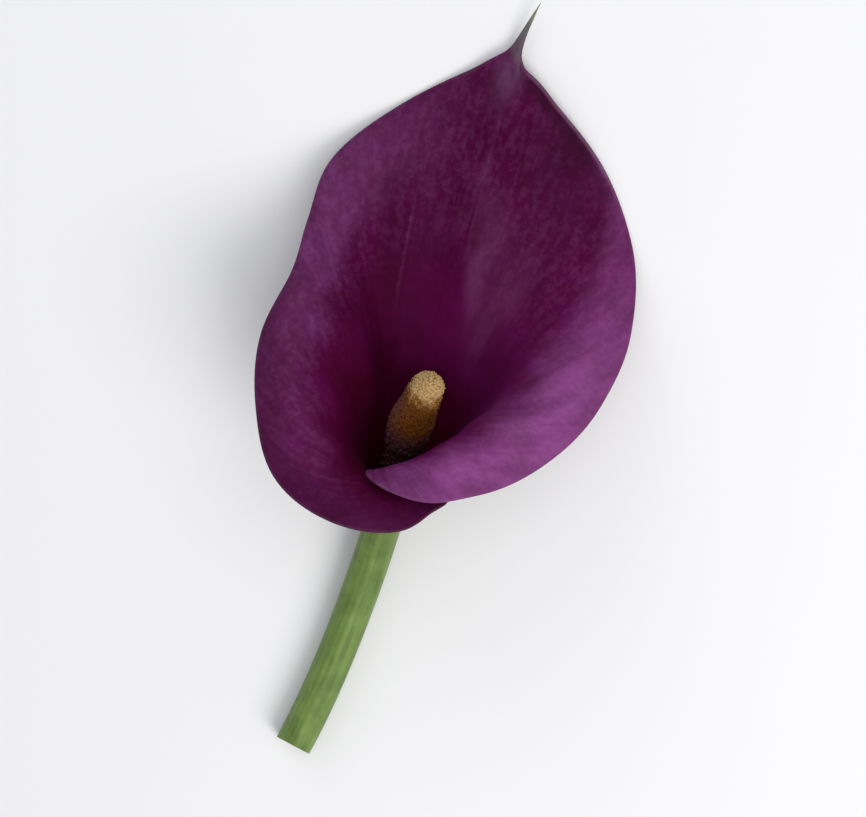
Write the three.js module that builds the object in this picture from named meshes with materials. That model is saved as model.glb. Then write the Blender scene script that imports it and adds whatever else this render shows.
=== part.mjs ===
// A cut calla lily flower, laid down on its back: one rolled spathe, the spadix inside it and its stalk.
//
// Units are millimetres and +Z is up. The flower itself is drawn in its own frame: z runs up its axis from the
// place where the spathe joins the stalk, y points to the back limb with the tail, and x is its right side, seen
// from the open front. The lying flower rests on the two rolled-back sides of the limb and on the end of the stalk.
import * as THREE from "three";
import { LoftGeometry } from "three/addons/geometries/LoftGeometry.js";
import { ParametricGeometry } from "three/addons/geometries/ParametricGeometry.js";
import { mergeGeometries, mergeVertices } from "three/addons/utils/BufferGeometryUtils.js";

const deg = THREE.MathUtils.degToRad;
const { clamp, lerp, smoothstep } = THREE.MathUtils;

// ---- driving dimensions ----

const JOINT_GAP = 0.3; // left between the pieces where they grow from one another

const TUBE_FOOT_RADIUS = 5; // middle of the spathe's wall where it joins the stalk
const TUBE_FOOT_SLOPE = 17; // degrees between the tube's wall and the axis at its foot
const INNER_FLAP_TUCK = 0.6; // the right flap lies this much inside that radius where the flaps overlap
const OUTER_FLAP_LIFT = 1.05; // and the left flap this much outside it
const OVERLAP_FROM = 100; // degrees round from the back where the flaps begin to part
const OVERLAP_WHOLE = 165;
const WALL_AT_FOOT = 1;
const WALL_AT_RIM = 0.8;

const TAIL_ROOT = new THREE.Vector3(-2.5, 3.3, 5.5); // the way in which the tail leaves the limb's tip
const TAIL_BEND = new THREE.Vector3(3.55, 2.9, 5.2); // and what its bend adds by its end
const TAIL_WIDTH = 0.5; // degrees of the rim over which the tail falls to a third of its length
const TAIL_DEPTH = 0.03; // share of the limb's length over which it does

// The rim of the spathe, from the foot of the outer left flap, round the back and the tip, to the foot of the inner
// right flap. A station has its direction round the axis (0 is the back, + is right), its distance from the axis,
// its height, the wall's slope from the axis there, the pull of that slope and of the foot's on the wall's curve,
// and the direction in which the vein that ends there leaves the foot.
const RIM = [
  [-240, 8.2, 5.0, 18, 0.33, 0.33, -236],
  [-231, 13.0, 12.5, 28, 0.34, 0.34, -229],
  [-218, 18.4, 18.8, 56, 0.38, 0.38, -216],
  [-204, 21.8, 20.6, 96, 0.45, 0.4, -203],
  [-188, 26.0, 19.2, 124, 0.54, 0.48, -187],
  [-160, 28.3, 16.9, 130, 0.58, 0.54, -159],
  [-132, 31.2, 17.9, 126, 0.58, 0.58, -132],
  [-107, 32.3, 22.8, 118, 0.56, 0.56, -107],
  [-83, 34.9, 29.2, 108, 0.52, 0.54, -83],
  [-62, 37.0, 35.2, 100, 0.5, 0.52, -62],
  [-49, 43.4, 39.8, 88, 0.46, 0.48, -49],
  [-38, 51.6, 46.6, 74, 0.42, 0.46, -38],
  [-23, 55.2, 56.8, 62, 0.4, 0.44, -23],
  [-10, 57.2, 66.0, 52, 0.38, 0.42, -10],
  [-1, 58.0, 72.2, 46, 0.38, 0.42, -1],
  [10, 54.2, 66.9, 50, 0.38, 0.42, 10],
  [25, 53.9, 57.2, 60, 0.4, 0.43, 25],
  [39, 52.2, 46.6, 74, 0.42, 0.44, 38],
  [56, 45.0, 38.7, 88, 0.44, 0.46, 54],
  [77, 36.2, 34.0, 102, 0.5, 0.48, 75],
  [106, 28.9, 31.2, 118, 0.56, 0.48, 103],
  [140, 25.4, 29.5, 126, 0.54, 0.47, 136],
  [162, 25.0, 28.4, 122, 0.49, 0.46, 156],
  [179, 22.4, 26.3, 106, 0.44, 0.44, 168],
  [192, 20.2, 24.8, 84, 0.4, 0.42, 176],
  [200, 17.6, 23.0, 56, 0.37, 0.4, 180],
  [197, 13.1, 19.0, 37, 0.35, 0.38, 182],
  [191, 9.1, 13.6, 26, 0.33, 0.35, 184],
  [187, 6.3, 7.0, 18, 0.33, 0.33, 186],
];
const TIP_STATION = RIM.findIndex(([around]) => around === -1);

const RIM_STEP = 0.4; // stations between two veins of the mesh
const STEPS_NEAR_TIP = [0, 0.03, 0.07, 0.14, 0.25]; // closer together where the tail narrows
const WALL_ROWS = 22; // from the foot to the rim
const ROWS_NEAR_RIM = 1.7; // how much closer they come at the rim

const SPADIX_HEIGHT = 36.6; // tip above the foot of the spathe
const SPADIX_LEAN = new THREE.Vector2(-0.5, 1); // sideways at the foot and at the tip
const SPADIX_PROFILE = [
  // height, radius
  [0, 2.8],
  [4, 3],
  [10, 3.1],
  [13.9, 3.25],
  [16.5, 3.8],
  [19.5, 4.15],
  [23.6, 3.9],
  [27.5, 3.35],
  [31.4, 3.1],
  [33.6, 2.95],
];
const SPADIX_TIP_ROUND = 3; // length of its rounded end
const SPADIX_TIP_BLUNT = 0.2; // left off the very tip
const FLORETS_AROUND = 15;
const FEMALE_ZONE = 15.5; // height up to which the florets are the larger female ones
const MALE_FLORET = { pitch: 0.72, height: 0.34 };
const FEMALE_FLORET = { pitch: 1.3, height: 0.5 };
const FLORETS_FADE = [0.5, 2.5]; // radii of the club's end between which the florets grow to their full height
const CLOSEST_ROWS = 0.35; // share of their pitch at which the rows stand at the very tip

const STEM_LENGTH = 66; // along the surface, from under the flower to the cut
const STEM_RADIUS = 4;
const STEM_TOP_RADIUS = 6.1; // where it widens to carry the spathe
const STEM_TOP_FLARE = 9; // length over which it does
const STEM_SIDEWAYS = -5; // how far it swings left before the cut
const STEM_BEND = 0.6; // share of that length over which its bend fades out
const STEM_STEPS = 30;
const STEM_SIDES = 24;
const CUT_SLANT = 24; // degrees, the knife's slope at the cut
const CUT_FROM = 0.85; // share of the stalk after which its rings begin to lean into the cut

const BACKWARD_LEAN = 33; // degrees from the surface up to the flower's axis
const SIDEWAYS_LEAN = 2.68; // turn round the long axis that sets both sides of the limb down

const COLOURS = {
  spathe: { color: 0x5a1a50, roughness: 0.55, metalness: 0 },
  spadix: { color: 0xd9a860, roughness: 0.85, metalness: 0 },
  stem: { color: 0x6d8a3a, roughness: 0.5, metalness: 0 },
};

// ---- spathe ----

// All values of the rim at a place between its stations, on an even Catmull-Rom curve.
function rimAt(place) {
  const last = RIM.length - 1;
  const k = clamp(Math.floor(place), 0, last - 1);
  const t = place - k;
  const beyond = (from, next) => from.map((value, i) => 2 * value - next[i]);
  const [b, c] = [RIM[k], RIM[k + 1]];
  const a = RIM[k - 1] ?? beyond(b, c);
  const d = RIM[k + 2] ?? beyond(c, b);
  return b.map((_, i) => {
    const cubic = 3 * b[i] - a[i] - 3 * c[i] + d[i];
    const square = 2 * a[i] - 5 * b[i] + 4 * c[i] - d[i];
    return b[i] + 0.5 * t * (c[i] - a[i] + t * (square + t * cubic));
  });
}

// A point of the middle of the spathe's wall. Each vein is a Bezier curve from the foot to the rim, in height and
// distance from the axis, while its direction turns evenly from that of its foot to that of the rim.
function wallPoint(place, along, target = new THREE.Vector3()) {
  const [around, radius, height, slope, rimPull, footPull, footAround] = rimAt(place);
  const overlap = smoothstep(Math.abs(footAround), OVERLAP_FROM, OVERLAP_WHOLE);
  const footRadius = TUBE_FOOT_RADIUS + overlap * (footAround > 0 ? -INNER_FLAP_TUCK : OUTER_FLAP_LIFT);
  const length = Math.hypot(radius - footRadius, height);
  const foot = new THREE.Vector2(footRadius, 0);
  const rim = new THREE.Vector2(radius, height);
  const outOfFoot = new THREE.Vector2(Math.sin(deg(TUBE_FOOT_SLOPE)), Math.cos(deg(TUBE_FOOT_SLOPE)));
  const intoRim = new THREE.Vector2(Math.sin(deg(slope)), Math.cos(deg(slope)));
  const vein = new THREE.CubicBezierCurve(
    foot,
    foot.clone().addScaledVector(outOfFoot, footPull * length),
    rim.clone().addScaledVector(intoRim, -rimPull * length),
    rim,
  );
  const { x: distance, y: up } = vein.getPoint(along);
  const turn = deg(lerp(footAround, around, along));
  target.set(distance * Math.sin(turn), distance * Math.cos(turn), up);
  const fromTip = Math.abs(around - RIM[TIP_STATION][0]) / TAIL_WIDTH + (1 - along) / TAIL_DEPTH;
  const tail = Math.exp(-fromTip);
  return target.addScaledVector(TAIL_ROOT, tail).addScaledVector(TAIL_BEND, tail ** 2);
}

// The direction out of the wall, away from the axis.
function wallNormal(place, along) {
  const step = 1e-3;
  const last = RIM.length - 1;
  const across = wallPoint(Math.min(place + step, last), along).sub(wallPoint(Math.max(place - step, 0), along));
  const up = wallPoint(place, Math.min(along + step, 1)).sub(wallPoint(place, Math.max(along - step, 0)));
  return across.cross(up).normalize().negate();
}

// Where the veins of the mesh stand along the rim.
function veinPlaces() {
  const near = STEPS_NEAR_TIP.at(-1);
  const side = (stations) => {
    const count = Math.round((stations - near) / RIM_STEP);
    const even = Array.from({ length: count }, (_, i) => near + ((stations - near) * (i + 1)) / count);
    return [...STEPS_NEAR_TIP, ...even];
  };
  const left = side(TIP_STATION).map((step) => TIP_STATION - step);
  const right = side(RIM.length - 1 - TIP_STATION).map((step) => TIP_STATION + step);
  return [...left.reverse(), ...right.slice(1)];
}

const swapWinding = (geometry) => {
  const { array } = geometry.index;
  for (let i = 0; i < array.length; i += 3) {
    [array[i + 1], array[i + 2]] = [array[i + 2], array[i + 1]];
  }
  return geometry;
};

// One closed wall: its inner and its outer face, both cut into the same triangles, and the strips round its edge.
function spatheGeometry() {
  const places = veinPlaces();
  const veins = places.length - 1;
  const placeAt = (u) => places[Math.round(u * veins)];
  const alongAt = (v) => 1 - (1 - v) ** ROWS_NEAR_RIM;
  const face = (side) => (u, v, target) => {
    const [place, along] = [placeAt(u), alongAt(v)];
    const halfWall = lerp(WALL_AT_FOOT, WALL_AT_RIM, along) / 2;
    wallPoint(place, along, target).addScaledVector(wallNormal(place, along), side * halfWall);
  };
  const [outside, inside] = [face(1), face(-1)];
  const strip = (walk) => (u, v, target) => (v < 0.5 ? inside : outside)(...walk(u), target);
  const inner = new ParametricGeometry(inside, veins, WALL_ROWS);
  const outer = swapWinding(new ParametricGeometry(outside, veins, WALL_ROWS));
  const rim = new ParametricGeometry(strip((u) => [u, 1]), veins, 1);
  const foot = swapWinding(new ParametricGeometry(strip((u) => [u, 0]), veins, 1));
  const leftEdge = new ParametricGeometry(strip((u) => [0, u]), WALL_ROWS, 1);
  const rightEdge = swapWinding(new ParametricGeometry(strip((u) => [1, u]), WALL_ROWS, 1));
  const whole = mergeGeometries([inner, outer, rim, foot, leftEdge, rightEdge]);
  whole.deleteAttribute("normal");
  whole.deleteAttribute("uv");
  const closed = mergeVertices(whole, 1e-4);
  closed.computeVertexNormals();
  return closed;
}

// ---- spadix ----

// The club's radius at a height, without its florets.
function clubRadius(height) {
  const intoTip = (height - SPADIX_HEIGHT + SPADIX_TIP_ROUND) / SPADIX_TIP_ROUND;
  if (intoTip >= 0) return SPADIX_PROFILE.at(-1)[1] * Math.sqrt(1 - intoTip ** 2);
  const above = SPADIX_PROFILE.findIndex(([top]) => top > height);
  const [[low, lowRadius], [high, highRadius]] = SPADIX_PROFILE.slice(above - 1, above + 1);
  return lerp(lowRadius, highRadius, smoothstep(height, low, high));
}

// A ring of points for each half row of florets. Every second point stands out, and the next ring's points stand
// out between them, so each floret is a small four-sided knob.
function spadixGeometry() {
  const rings = [];
  const points = FLORETS_AROUND * 2;
  const top = SPADIX_HEIGHT - SPADIX_TIP_BLUNT;
  let height = 0;
  let row = 0;
  while (height < top) {
    const floret = height < FEMALE_ZONE ? FEMALE_FLORET : MALE_FLORET;
    const base = clubRadius(height);
    const grown = row > 0 ? smoothstep(base, ...FLORETS_FADE) : 0;
    const lean = lerp(SPADIX_LEAN.x, SPADIX_LEAN.y, height / SPADIX_HEIGHT);
    rings.push(
      Array.from({ length: points }, (_, i) => {
        const turn = (i / points) * 2 * Math.PI;
        const raised = (i + row) % 2 ? floret.height * grown : 0;
        const radius = base + raised;
        return new THREE.Vector3(lean + radius * Math.cos(turn), radius * Math.sin(turn), height);
      }),
    );
    const slowing = clamp((SPADIX_HEIGHT - height) / SPADIX_TIP_ROUND, CLOSEST_ROWS, 1);
    height += floret.pitch * slowing;
    row += 1;
  }
  return new LoftGeometry(rings, { capStart: true, capEnd: true });
}

// ---- stem ----

// The stalk's middle line: it leaves the flower along its axis, and comes down to lie on the surface.
function stemLine(foot, axis) {
  const start = foot.clone().addScaledVector(axis, -JOINT_GAP);
  const down = (start.z - STEM_RADIUS) / axis.z; // along the axis, to the height of the lying stalk
  return new THREE.CubicBezierCurve3(
    start,
    start.clone().addScaledVector(axis, -down),
    new THREE.Vector3(foot.x, foot.y - STEM_LENGTH * STEM_BEND, STEM_RADIUS),
    new THREE.Vector3(foot.x + STEM_SIDEWAYS, foot.y - STEM_LENGTH, STEM_RADIUS),
  );
}

function stemGeometry(foot, axis) {
  const line = stemLine(foot, axis);
  const length = line.getLength();
  const right = new THREE.Vector3(1, 0, 0);
  const rings = [];
  for (let step = 0; step <= STEM_STEPS; step += 1) {
    const share = step / STEM_STEPS;
    const middle = line.getPointAt(share);
    const onward = line.getTangentAt(share);
    const up = onward.clone().cross(right).normalize();
    const across = up.clone().cross(onward).normalize();
    const fromTop = share * length;
    const flare = 1 - smoothstep(fromTop, 0, STEM_TOP_FLARE);
    const radius = lerp(STEM_RADIUS, STEM_TOP_RADIUS, flare);
    const slant = Math.tan(deg(CUT_SLANT)) * smoothstep(share, CUT_FROM, 1);
    rings.push(
      Array.from({ length: STEM_SIDES }, (_, i) => {
        const turn = (i / STEM_SIDES) * 2 * Math.PI;
        const [aside, upward] = [radius * Math.cos(turn), radius * Math.sin(turn)];
        return middle
          .clone()
          .addScaledVector(across, aside)
          .addScaledVector(up, upward)
          .addScaledVector(onward, -upward * slant);
      }),
    );
  }
  return new LoftGeometry(rings, { capStart: true, capEnd: true });
}

// ---- the laid flower ----

function piece(name, geometry) {
  const mesh = new THREE.Mesh(geometry, new THREE.MeshStandardMaterial(COLOURS[name]));
  mesh.name = name;
  return mesh;
}

const flower = new THREE.Group();
flower.add(piece("spathe", spatheGeometry()), piece("spadix", spadixGeometry()));
flower.rotation.set(deg(BACKWARD_LEAN - 90), deg(SIDEWAYS_LEAN), 0, "YXZ");

const calla = new THREE.Group();
calla.name = "calla_lily_flower";
calla.add(flower);

// Down until its limb touches the surface, then the stalk, and last the origin to the middle of the underside.
flower.position.z = -new THREE.Box3().setFromObject(flower, true).min.z;
calla.updateMatrixWorld(true);
const axis = new THREE.Vector3(0, 0, 1).transformDirection(flower.matrixWorld);
calla.add(piece("stem", stemGeometry(flower.position.clone(), axis)));
const box = new THREE.Box3().setFromObject(calla, true);
const middle = box.getCenter(new THREE.Vector3());
for (const child of calla.children) child.position.add(new THREE.Vector3(-middle.x, -middle.y, -box.min.z));

export default calla;
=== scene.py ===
"""A cut calla lily flower, laid down on its back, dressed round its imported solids.

Lengths in the tables are millimetres. The flower is drawn in its own frame, as its solids are:
z runs up its axis from where the spathe joins the stalk, y points to the back limb with the tail,
and x is its right side. lay() brings it into the row frame, in metres, where it lies on the
surface z = 0.
"""

import math

import bpy
import numpy as np
from mathutils import Matrix, Vector, noise


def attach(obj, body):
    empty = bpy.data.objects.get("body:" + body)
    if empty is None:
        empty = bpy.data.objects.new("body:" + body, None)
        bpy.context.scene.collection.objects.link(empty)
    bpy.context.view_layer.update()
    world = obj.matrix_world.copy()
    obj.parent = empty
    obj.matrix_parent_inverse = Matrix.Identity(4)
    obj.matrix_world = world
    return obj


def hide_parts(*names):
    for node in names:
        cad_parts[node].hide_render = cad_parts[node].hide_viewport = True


bl_info = {
    "name": "Calla Lily Flower",
    "version": (1, 0, 0),
    "blender": (4, 5, 0),
    "location": "3D View > Sidebar > Calla Lily",
    "description": "Adds a cut calla lily flower: its spathe, its spadix and its stalk",
    "category": "Add Mesh",
}

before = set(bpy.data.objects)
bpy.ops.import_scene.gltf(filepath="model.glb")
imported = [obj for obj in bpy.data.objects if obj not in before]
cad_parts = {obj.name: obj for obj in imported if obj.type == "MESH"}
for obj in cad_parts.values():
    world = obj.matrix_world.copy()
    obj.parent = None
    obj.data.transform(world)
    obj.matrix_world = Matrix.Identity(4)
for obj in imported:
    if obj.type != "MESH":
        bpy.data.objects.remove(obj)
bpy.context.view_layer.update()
MM = 0.001

# ---- the flower's dimensions, the same as or close to those of its solids ----

FLOWER_FOOT = (-1.695, -18.302, 11.464)  # where the spathe joins the stalk, in the row frame
BACKWARD_LEAN = 33  # degrees by which the lying flower's axis rises from the surface
SIDEWAYS_LEAN = 2.68
LYING = (
    Matrix.Translation(FLOWER_FOOT)
    @ Matrix.Rotation(math.radians(SIDEWAYS_LEAN), 4, "Y")
    @ Matrix.Rotation(math.radians(BACKWARD_LEAN - 90), 4, "X")
)

TUBE_FOOT_RADIUS = 5
TUBE_FOOT_SLOPE = 17  # degrees off the axis
INNER_FLAP_TUCK = 0.6  # how far the right flap lies inside that radius where the flaps overlap
OUTER_FLAP_LIFT = 1.05  # and how far the left flap lies outside it
CORNER_TUCK = 0.4  # share of that lift that the flap's corner at the foot loses
OVERLAP = (100, 165)  # directions between which the flaps part, in degrees from the back
FLAP_EDGE = (106, 128)  # directions between which the stalk widens for the outer flap's free edge
FLAP_STEP = (120, 126)  # the same where its skin ends on the tube
TAIL_ROOT = (-2.5, 4.4, 4.2)  # how far the tail draws the tip out, evenly from its root on
TAIL_END = (3.55, 1.8, 6.5)  # and how far more towards its end
TAIL_THREAD = (0.9, 0.36)  # degrees over which the tail's thread fades, to its left and right
TAIL_SPREAD = (5.2, 0.9)  # the same for its spreading root
TAIL_THREAD_SHARE = 0.8  # how much of the tail is thread
TAIL_DEPTH = 0.022  # the part of a vein's run over which the tail fades
TIP_TRIM = 1.4  # how far the rim is drawn in just right of the tail
TIP_TRIM_AT = 2.1  # how many degrees from the tip that is strongest
TIP_TRIM_WAY = (0.72, 0.69)  # the parts of it that go towards the axis and down

# The rim from the foot of the outer left flap, round the back and the tip, to the foot of the
# inner right flap: direction round the axis (0 is the back), distance from it, height, the wall's
# slope there, the pull of that slope and of the foot's on the wall's curve, and the direction in
# which the vein that ends there leaves the foot.
RIM = np.array([
    (-240, 8.2, 5.0, 18, 0.33, 0.33, -236),
    (-231, 13.0, 12.5, 28, 0.34, 0.34, -229),
    (-218, 18.4, 18.8, 56, 0.38, 0.38, -216),
    (-204, 21.8, 20.6, 96, 0.45, 0.4, -203),
    (-188, 26.0, 19.2, 124, 0.54, 0.48, -187),
    (-160, 28.3, 16.9, 130, 0.58, 0.54, -159),
    (-132, 31.2, 17.9, 126, 0.58, 0.58, -132),
    (-107, 32.3, 22.8, 118, 0.56, 0.56, -107),
    (-83, 34.9, 29.2, 108, 0.52, 0.54, -83),
    (-62, 37.0, 35.2, 100, 0.5, 0.52, -62),
    (-49, 43.4, 39.8, 88, 0.46, 0.48, -49),
    (-38, 51.6, 46.6, 74, 0.42, 0.46, -38),
    (-23, 55.2, 56.8, 62, 0.4, 0.44, -23),
    (-10, 57.2, 66.0, 52, 0.38, 0.42, -10),
    (-1, 58.0, 72.2, 46, 0.38, 0.42, -1),
    (10, 54.2, 66.9, 50, 0.38, 0.42, 10),
    (25, 53.9, 57.2, 60, 0.4, 0.43, 25),
    (39, 52.2, 46.6, 74, 0.42, 0.44, 38),
    (56, 45.0, 38.7, 88, 0.46, 0.48, 54),
    (77, 36.2, 34.0, 102, 0.56, 0.52, 75),
    (106, 28.9, 31.2, 118, 0.64, 0.54, 103),
    (140, 25.4, 29.5, 126, 0.62, 0.53, 136),
    (162, 25.0, 28.4, 122, 0.53, 0.49, 156),
    (179, 22.4, 26.3, 106, 0.44, 0.44, 168),
    (192, 20.2, 24.8, 84, 0.4, 0.42, 176),
    (200, 17.6, 23.0, 56, 0.37, 0.4, 180),
    (197, 13.1, 19.0, 37, 0.35, 0.38, 182),
    (191, 9.1, 13.6, 26, 0.33, 0.35, 184),
    (187, 6.3, 7.0, 18, 0.33, 0.33, 186),
])
TIP_STATION = 14  # the row of the tip
TIP_PATCH = (-2.0, 55.6, 69.3)  # middle of the painted highlight beside the root of the tail
TIP_PATCH_SIZE = (1.8, 3.8, 3.8)

# How the inner face's colour changes from the rim inwards, at places along the rim: how strong the
# lilac bloom is there, partly the lip's own paler colour and partly painted sheen and light, the
# distances from the rim to which it keeps that strength and at which it is gone, and the distances
# at which the wine red sets in and is full.
COLOUR_ZONES = np.array([
    (3, 0.0, 1, 4, 4, 8),
    (4.5, 0.1, 1, 4, 5, 9),
    (5.2, 0.04, 5, 9, 7, 12),
    (6, 0.12, 10, 15, 11, 17),
    (7, 0.14, 9, 15, 12, 17),
    (8, 0.23, 7, 14, 11, 16),
    (9, 0.32, 6, 13.5, 10, 15.5),
    (10, 0.4, 7, 15, 12, 24),
    (11, 0.38, 9, 20, 15, 32),
    (12, 0.22, 9, 23, 26, 38),
    (13, 0.05, 10, 24, 28, 56),
    (14, 0.0, 4, 10, 46, 62),
    (15.4, 0.0, 0.4, 2.5, 46, 62),
    (15.9, 0.3, 0.6, 3, 46, 62),
    (16.4, 0.34, 0.8, 5.5, 44, 58),
    (17, 0.34, 2, 18, 40, 54),
    (17.5, 0.5, 5, 24, 36, 50),
    (18, 0.7, 7, 26, 34, 48),
    (19, 0.9, 9, 25, 30, 44),
    (20, 0.92, 7, 20, 22, 34),
    (21, 0.86, 4.5, 15, 18, 30),
    (22, 0.8, 3, 12, 14, 26),
    (23, 0.66, 4, 12, 9, 20),
    (24, 0.3, 3, 10, 6, 14),
    (26, 0.1, 2, 6, 3, 9),
])

# How strongly the fold inside the bloom is flushed magenta, at places along the rim, and how far
# inwards it goes.
FOLD_FLUSH = np.array([
    (5, 0.0, 3), (6, 0.3, 3), (8, 0.1, 3), (10, 0.0, 4), (14.8, 0.0, 14), (16.5, 0.12, 20),
    (17.1, 0.42, 27), (18.5, 0.85, 25), (20, 1.0, 17), (22, 1.0, 12), (24, 0.6, 8),
    (26, 0.0, 6),
])

# How strongly shade is painted on the inner face next to the margin, at places along the rim, and
# how far inwards that goes.
PAINTED_EDGE_SHADE = np.array([
    (3.5, 0.3, 6), (5, 0.4, 7), (6.3, 0.4, 8), (7.1, 0.36, 6), (8.4, 0.32, 4), (9.4, 0.0, 4),
    (14.5, 0.0, 20), (15.25, 0.5, 22), (15.8, 0.36, 22), (16.3, 0.1, 24), (16.8, 0.17, 9),
    (17.2, 0.13, 8), (18.2, 0.17, 7), (20, 0.1, 7), (22, 0.18, 6), (24, 0.2, 6),
])

# Heights up a fine pale crease on the left of the limb, and how far it is to the side there.
CREASE = np.array([(31.0, -9.8), (36.7, -11.2), (41.0, -11.8), (46.7, -12.7)])

# Limits between which other shades of the inner face come in and go again: the haze in the middle
# of the limb, its weaker part at the left, and the painted light low on the back, where light comes
# through the wall.
HAZE_FROM_RIM = (18, 34, 38, 56)
LEFT_HAZE_FROM_RIM = (6, 16, 28, 44)
GLOW_PLACES = (10.8, 12.2, 18.4, 19.6)
GLOW_FROM_FOOT = (20, 28, 32, 50)

JOINT_GREEN = (0.13, 0.195, 0.055)  # the spathe's foot and the stalk's top

MALE, FEMALE, POLLEN = 1, 2, 3  # kinds of floret for the material, and 0 for the club itself
SPADIX_HEIGHT = 36.6
SPADIX_LEAN = (-1.0, 1.0)  # how far right of the axis its middle is at its foot and its tip
SPADIX_PROFILE = np.array([  # heights and the radii there
    (0, 4.3), (1.5, 3.9), (4.5, 3.05), (10, 3.1), (13.9, 3.25), (16.5, 3.5), (19.5, 3.95),
    (23.6, 3.95), (27.5, 3.55), (31.4, 3.3), (33.6, 3.0),
])
SPADIX_TIP_ROUND = 3
FEMALE_ZONE = 15.5  # the height up to which the florets are female
CREAM_FROM = (32.6, 34.4)  # heights where ochre turns to cream, partly painted light on the lit tip
REFLECTION_SIDES = ((172, 48), (24, 40))  # sides with a painted reflection of the purple spathe, and widths

STEM_LENGTH = 66
STEM_RADIUS = 4
STEM_SIDEWAYS = -5
STEM_BEND = 0.6  # the part of its length at which its curve's third control point lies
STEM_DROP = 0.3  # how far under the spathe's foot the stalk's own length begins
CUT_SLANT = 24  # degrees
CUT_FROM = 0.85  # the part of the length after which the rings begin to slant with the cut

# The stalk's top: heights up the tube at which its rings inside it lie and their radii, and heights
# at which its skin lies on the tube and how far it stands out. Then the rings of the cut, as parts
# of its radius.
INSIDE_RINGS = ((1.0, 0.0), (0.98, 1.5), (0.95, 3.0), (0.92, 4.2), (0.95, 5.15))
SEAM_RINGS = (
    (2.2, -0.25), (1.9, -0.1), (1.5, 0.0), (1.1, 0.06), (0.7, 0.1), (0.3, 0.13), (-0.1, 0.15),
    (-0.5, 0.16),
)
CUT_RINGS = (0.985, 0.95, 0.9, 0.8, 0.68, 0.55, 0.42, 0.3, 0.18, 0.08, 0.0)

# Softboxes: the direction from the bloom, the width in metres and the colour of the light.
SOFTBOXES = {
    "key": ((0.62, -0.28, 0.78), 0.6, (1.0, 0.97, 0.94)),
    "top": ((0.2, 0.35, 1.0), 0.7, (0.97, 0.98, 1.0)),
    "side": ((-0.6, 0.75, 0.6), 0.6, (0.95, 0.97, 1.0)),
}
SOFTBOX_DISTANCE = 0.9
BLOOM_MIDDLE = Vector((0.0, 0.03, 0.02))
ROOM_LIGHT = (0.93, 0.95, 1.0, 1)
VIEW_SHIFT = (8.2, 16.3)  # how far right and up of the flower's foot the camera looks
VIEW_DISTANCE = 620


# ---- helpers for shapes ----


def lay(points):
    """Points of the flower's own frame in millimetres, in the row frame in metres."""
    turn = np.array(LYING.to_3x3())
    return (points @ turn.T + np.array(LYING.translation)) * MM


def smoothstep(x, low, high):
    t = np.clip((x - low) / (high - low), 0, 1)
    return t * t * (3 - 2 * t)


def fade(x, low, high):
    return 1 - smoothstep(x, low, high)


def window(x, low, full, still_full, gone):
    """From 0 up to 1 between the first two limits, and down again between the last two."""
    return smoothstep(x, low, full) * fade(x, still_full, gone)


def bezier(points, t):
    """The cubic curve with those four control points, at t from 0 to 1."""
    weights = ((1 - t) ** 3, 3 * t * (1 - t) ** 2, 3 * t**2 * (1 - t), t**3)
    return sum(w * p for w, p in zip(weights, points))


def running_total(steps, axis=0):
    """How far the steps have come, from 0 before the first one."""
    return np.insert(np.cumsum(steps, axis=axis), 0, 0, axis=axis)


def unit(vectors):
    return vectors / np.maximum(np.linalg.norm(vectors, axis=-1, keepdims=True), 1e-12)


def soft_noise(points, size, seed=0):
    """Smooth noise from about -1 to 1 at points, with hills of that size."""
    shift = Vector((seed * 17.3, seed * 5.1, seed * 9.7))
    return np.array([noise.noise(Vector(p) / size + shift) for p in points])


def deselect_all():
    if bpy.context.object and bpy.context.object.mode != "OBJECT":
        bpy.ops.object.mode_set(mode="OBJECT")
    bpy.ops.object.select_all(action="DESELECT")


def select_only(obj):
    deselect_all()
    obj.select_set(True)
    bpy.context.view_layer.objects.active = obj


def added(name):
    """The object that the last primitive operator added, under its own name."""
    obj = bpy.context.object
    obj.name = obj.data.name = name
    return obj


def points_of(obj):
    flat = np.empty(len(obj.data.vertices) * 3)
    obj.data.vertices.foreach_get("co", flat)
    return flat.reshape(-1, 3)


def add_object(name, data):
    """A new object in the scene for a mesh, a light or a camera."""
    obj = bpy.data.objects.new(name, data)
    bpy.context.scene.collection.objects.link(obj)
    return obj


def move_points(obj, points):
    obj.data.vertices.foreach_set("co", np.asarray(points, float).ravel())
    obj.data.update()


def put_attributes(obj, numbers):
    """Numbers for each vertex, which the materials read by their names."""
    for name, values in numbers.items():
        attribute = obj.data.attributes.new(name, "FLOAT", "POINT")
        attribute.data.foreach_set("value", np.asarray(values, np.float32))


def clear_uvs(obj):
    while obj.data.uv_layers:
        obj.data.uv_layers.remove(obj.data.uv_layers[0])


def put_uv(obj, name, across, along):
    """A UV map from two numbers for each vertex."""
    clear_uvs(obj)
    corner = np.empty(len(obj.data.loops), np.int32)
    obj.data.loops.foreach_get("vertex_index", corner)
    layer = obj.data.uv_layers.new(name=name)
    layer.data.foreach_set("uv", np.stack([across[corner], along[corner]], -1).ravel())


def face_outwards(merge_within=None):
    """Turns the active object's faces outwards, and first merges its closest points if asked."""
    bpy.ops.object.mode_set(mode="EDIT")
    bpy.ops.mesh.select_all(action="SELECT")
    if merge_within:
        bpy.ops.mesh.remove_doubles(threshold=merge_within)
    bpy.ops.mesh.normals_make_consistent(inside=False)
    bpy.ops.object.mode_set(mode="OBJECT")


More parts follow.
